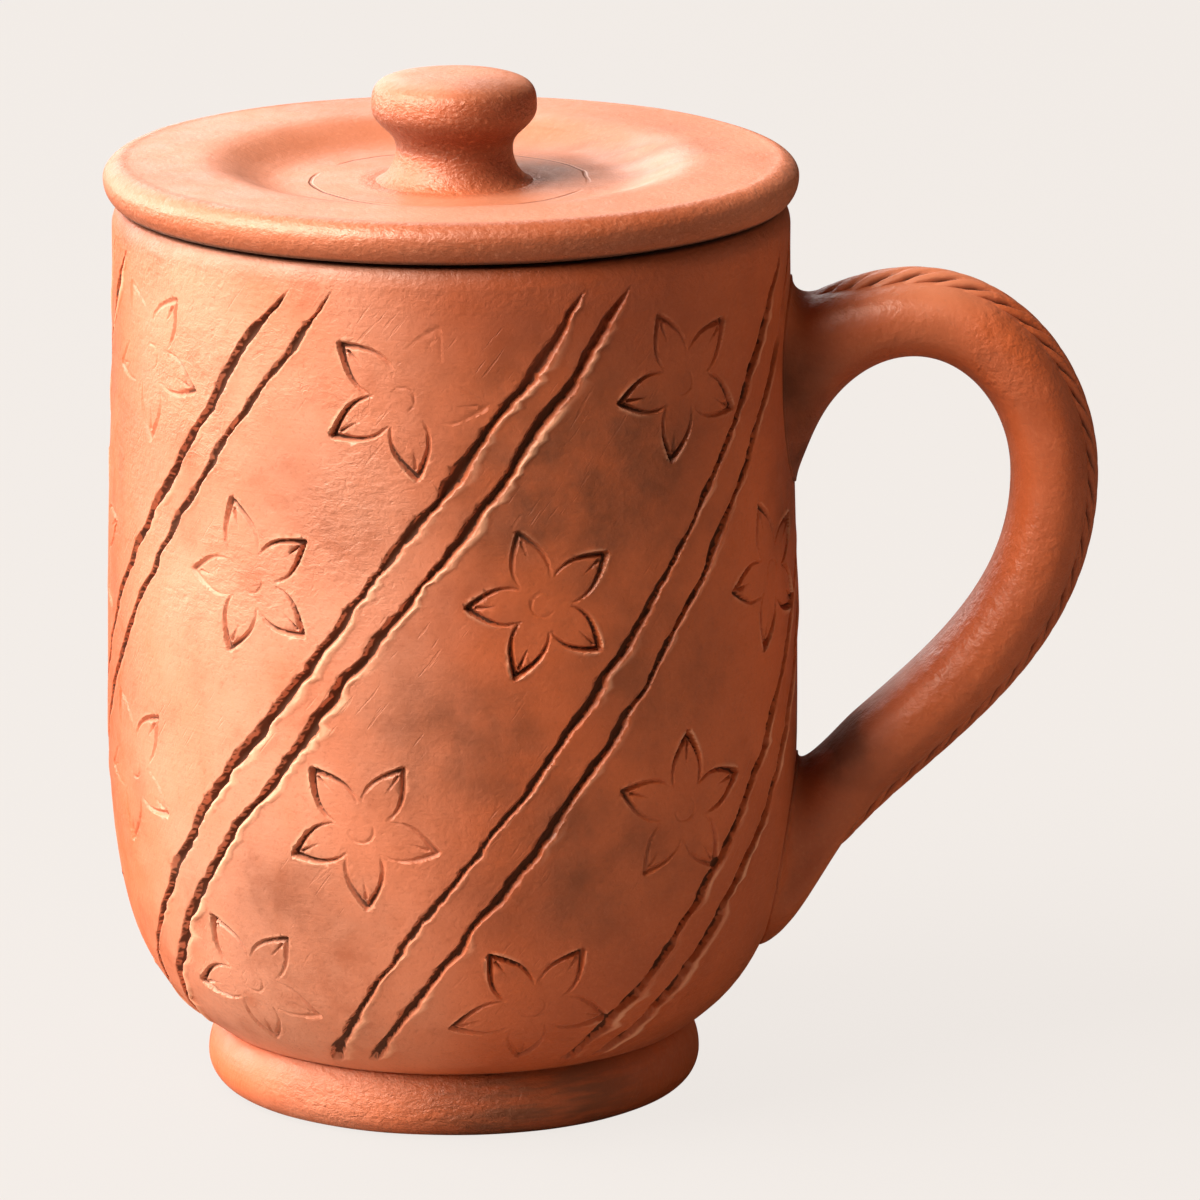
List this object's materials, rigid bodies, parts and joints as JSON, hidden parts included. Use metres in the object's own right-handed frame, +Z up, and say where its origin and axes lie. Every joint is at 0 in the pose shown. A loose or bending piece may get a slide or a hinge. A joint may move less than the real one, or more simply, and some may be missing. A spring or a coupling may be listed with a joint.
{
  "type": "lidded mug",
  "caption": "Earthenware mug carved with leaning bands, on a coiled foot ring, with a rope-backed strap handle and a dished, knobbed lid that lifts off the rim.",
  "frame": {"origin": "middle of the standing box, on the table plane; the mug's own axis stands 18.5 mm towards -X of it", "axes": "+Z up along the mug's axis, +X towards the handle, +Y across the handle"},
  "size_m": [0.1231, 0.0862, 0.1284],
  "materials": {
    "body_clay": "unglazed red earthenware, smoothed and lightly burnished, with smoke clouds and carved ornament",
    "handle_clay": "unglazed red earthenware, wiped smooth, a little darker from handling",
    "lid_clay": "unglazed red earthenware, wiped smooth on the wheel"
  },
  "bodies": {
    "mug": {"mug_body": "body_clay", "foot_ring": "body_clay", "handle": "handle_clay", "handle_rope": "handle_clay"},
    "lid": {"lid_plate": "lid_clay", "lid_flange": "lid_clay", "lid_knob": "lid_clay"}
  },
  "joints": [
    {"name": "lid_lift", "type": "slide", "parent": "mug", "child": "lid", "axis": [0, 0, 1], "range_m": [0, 0.06]}
  ]
}
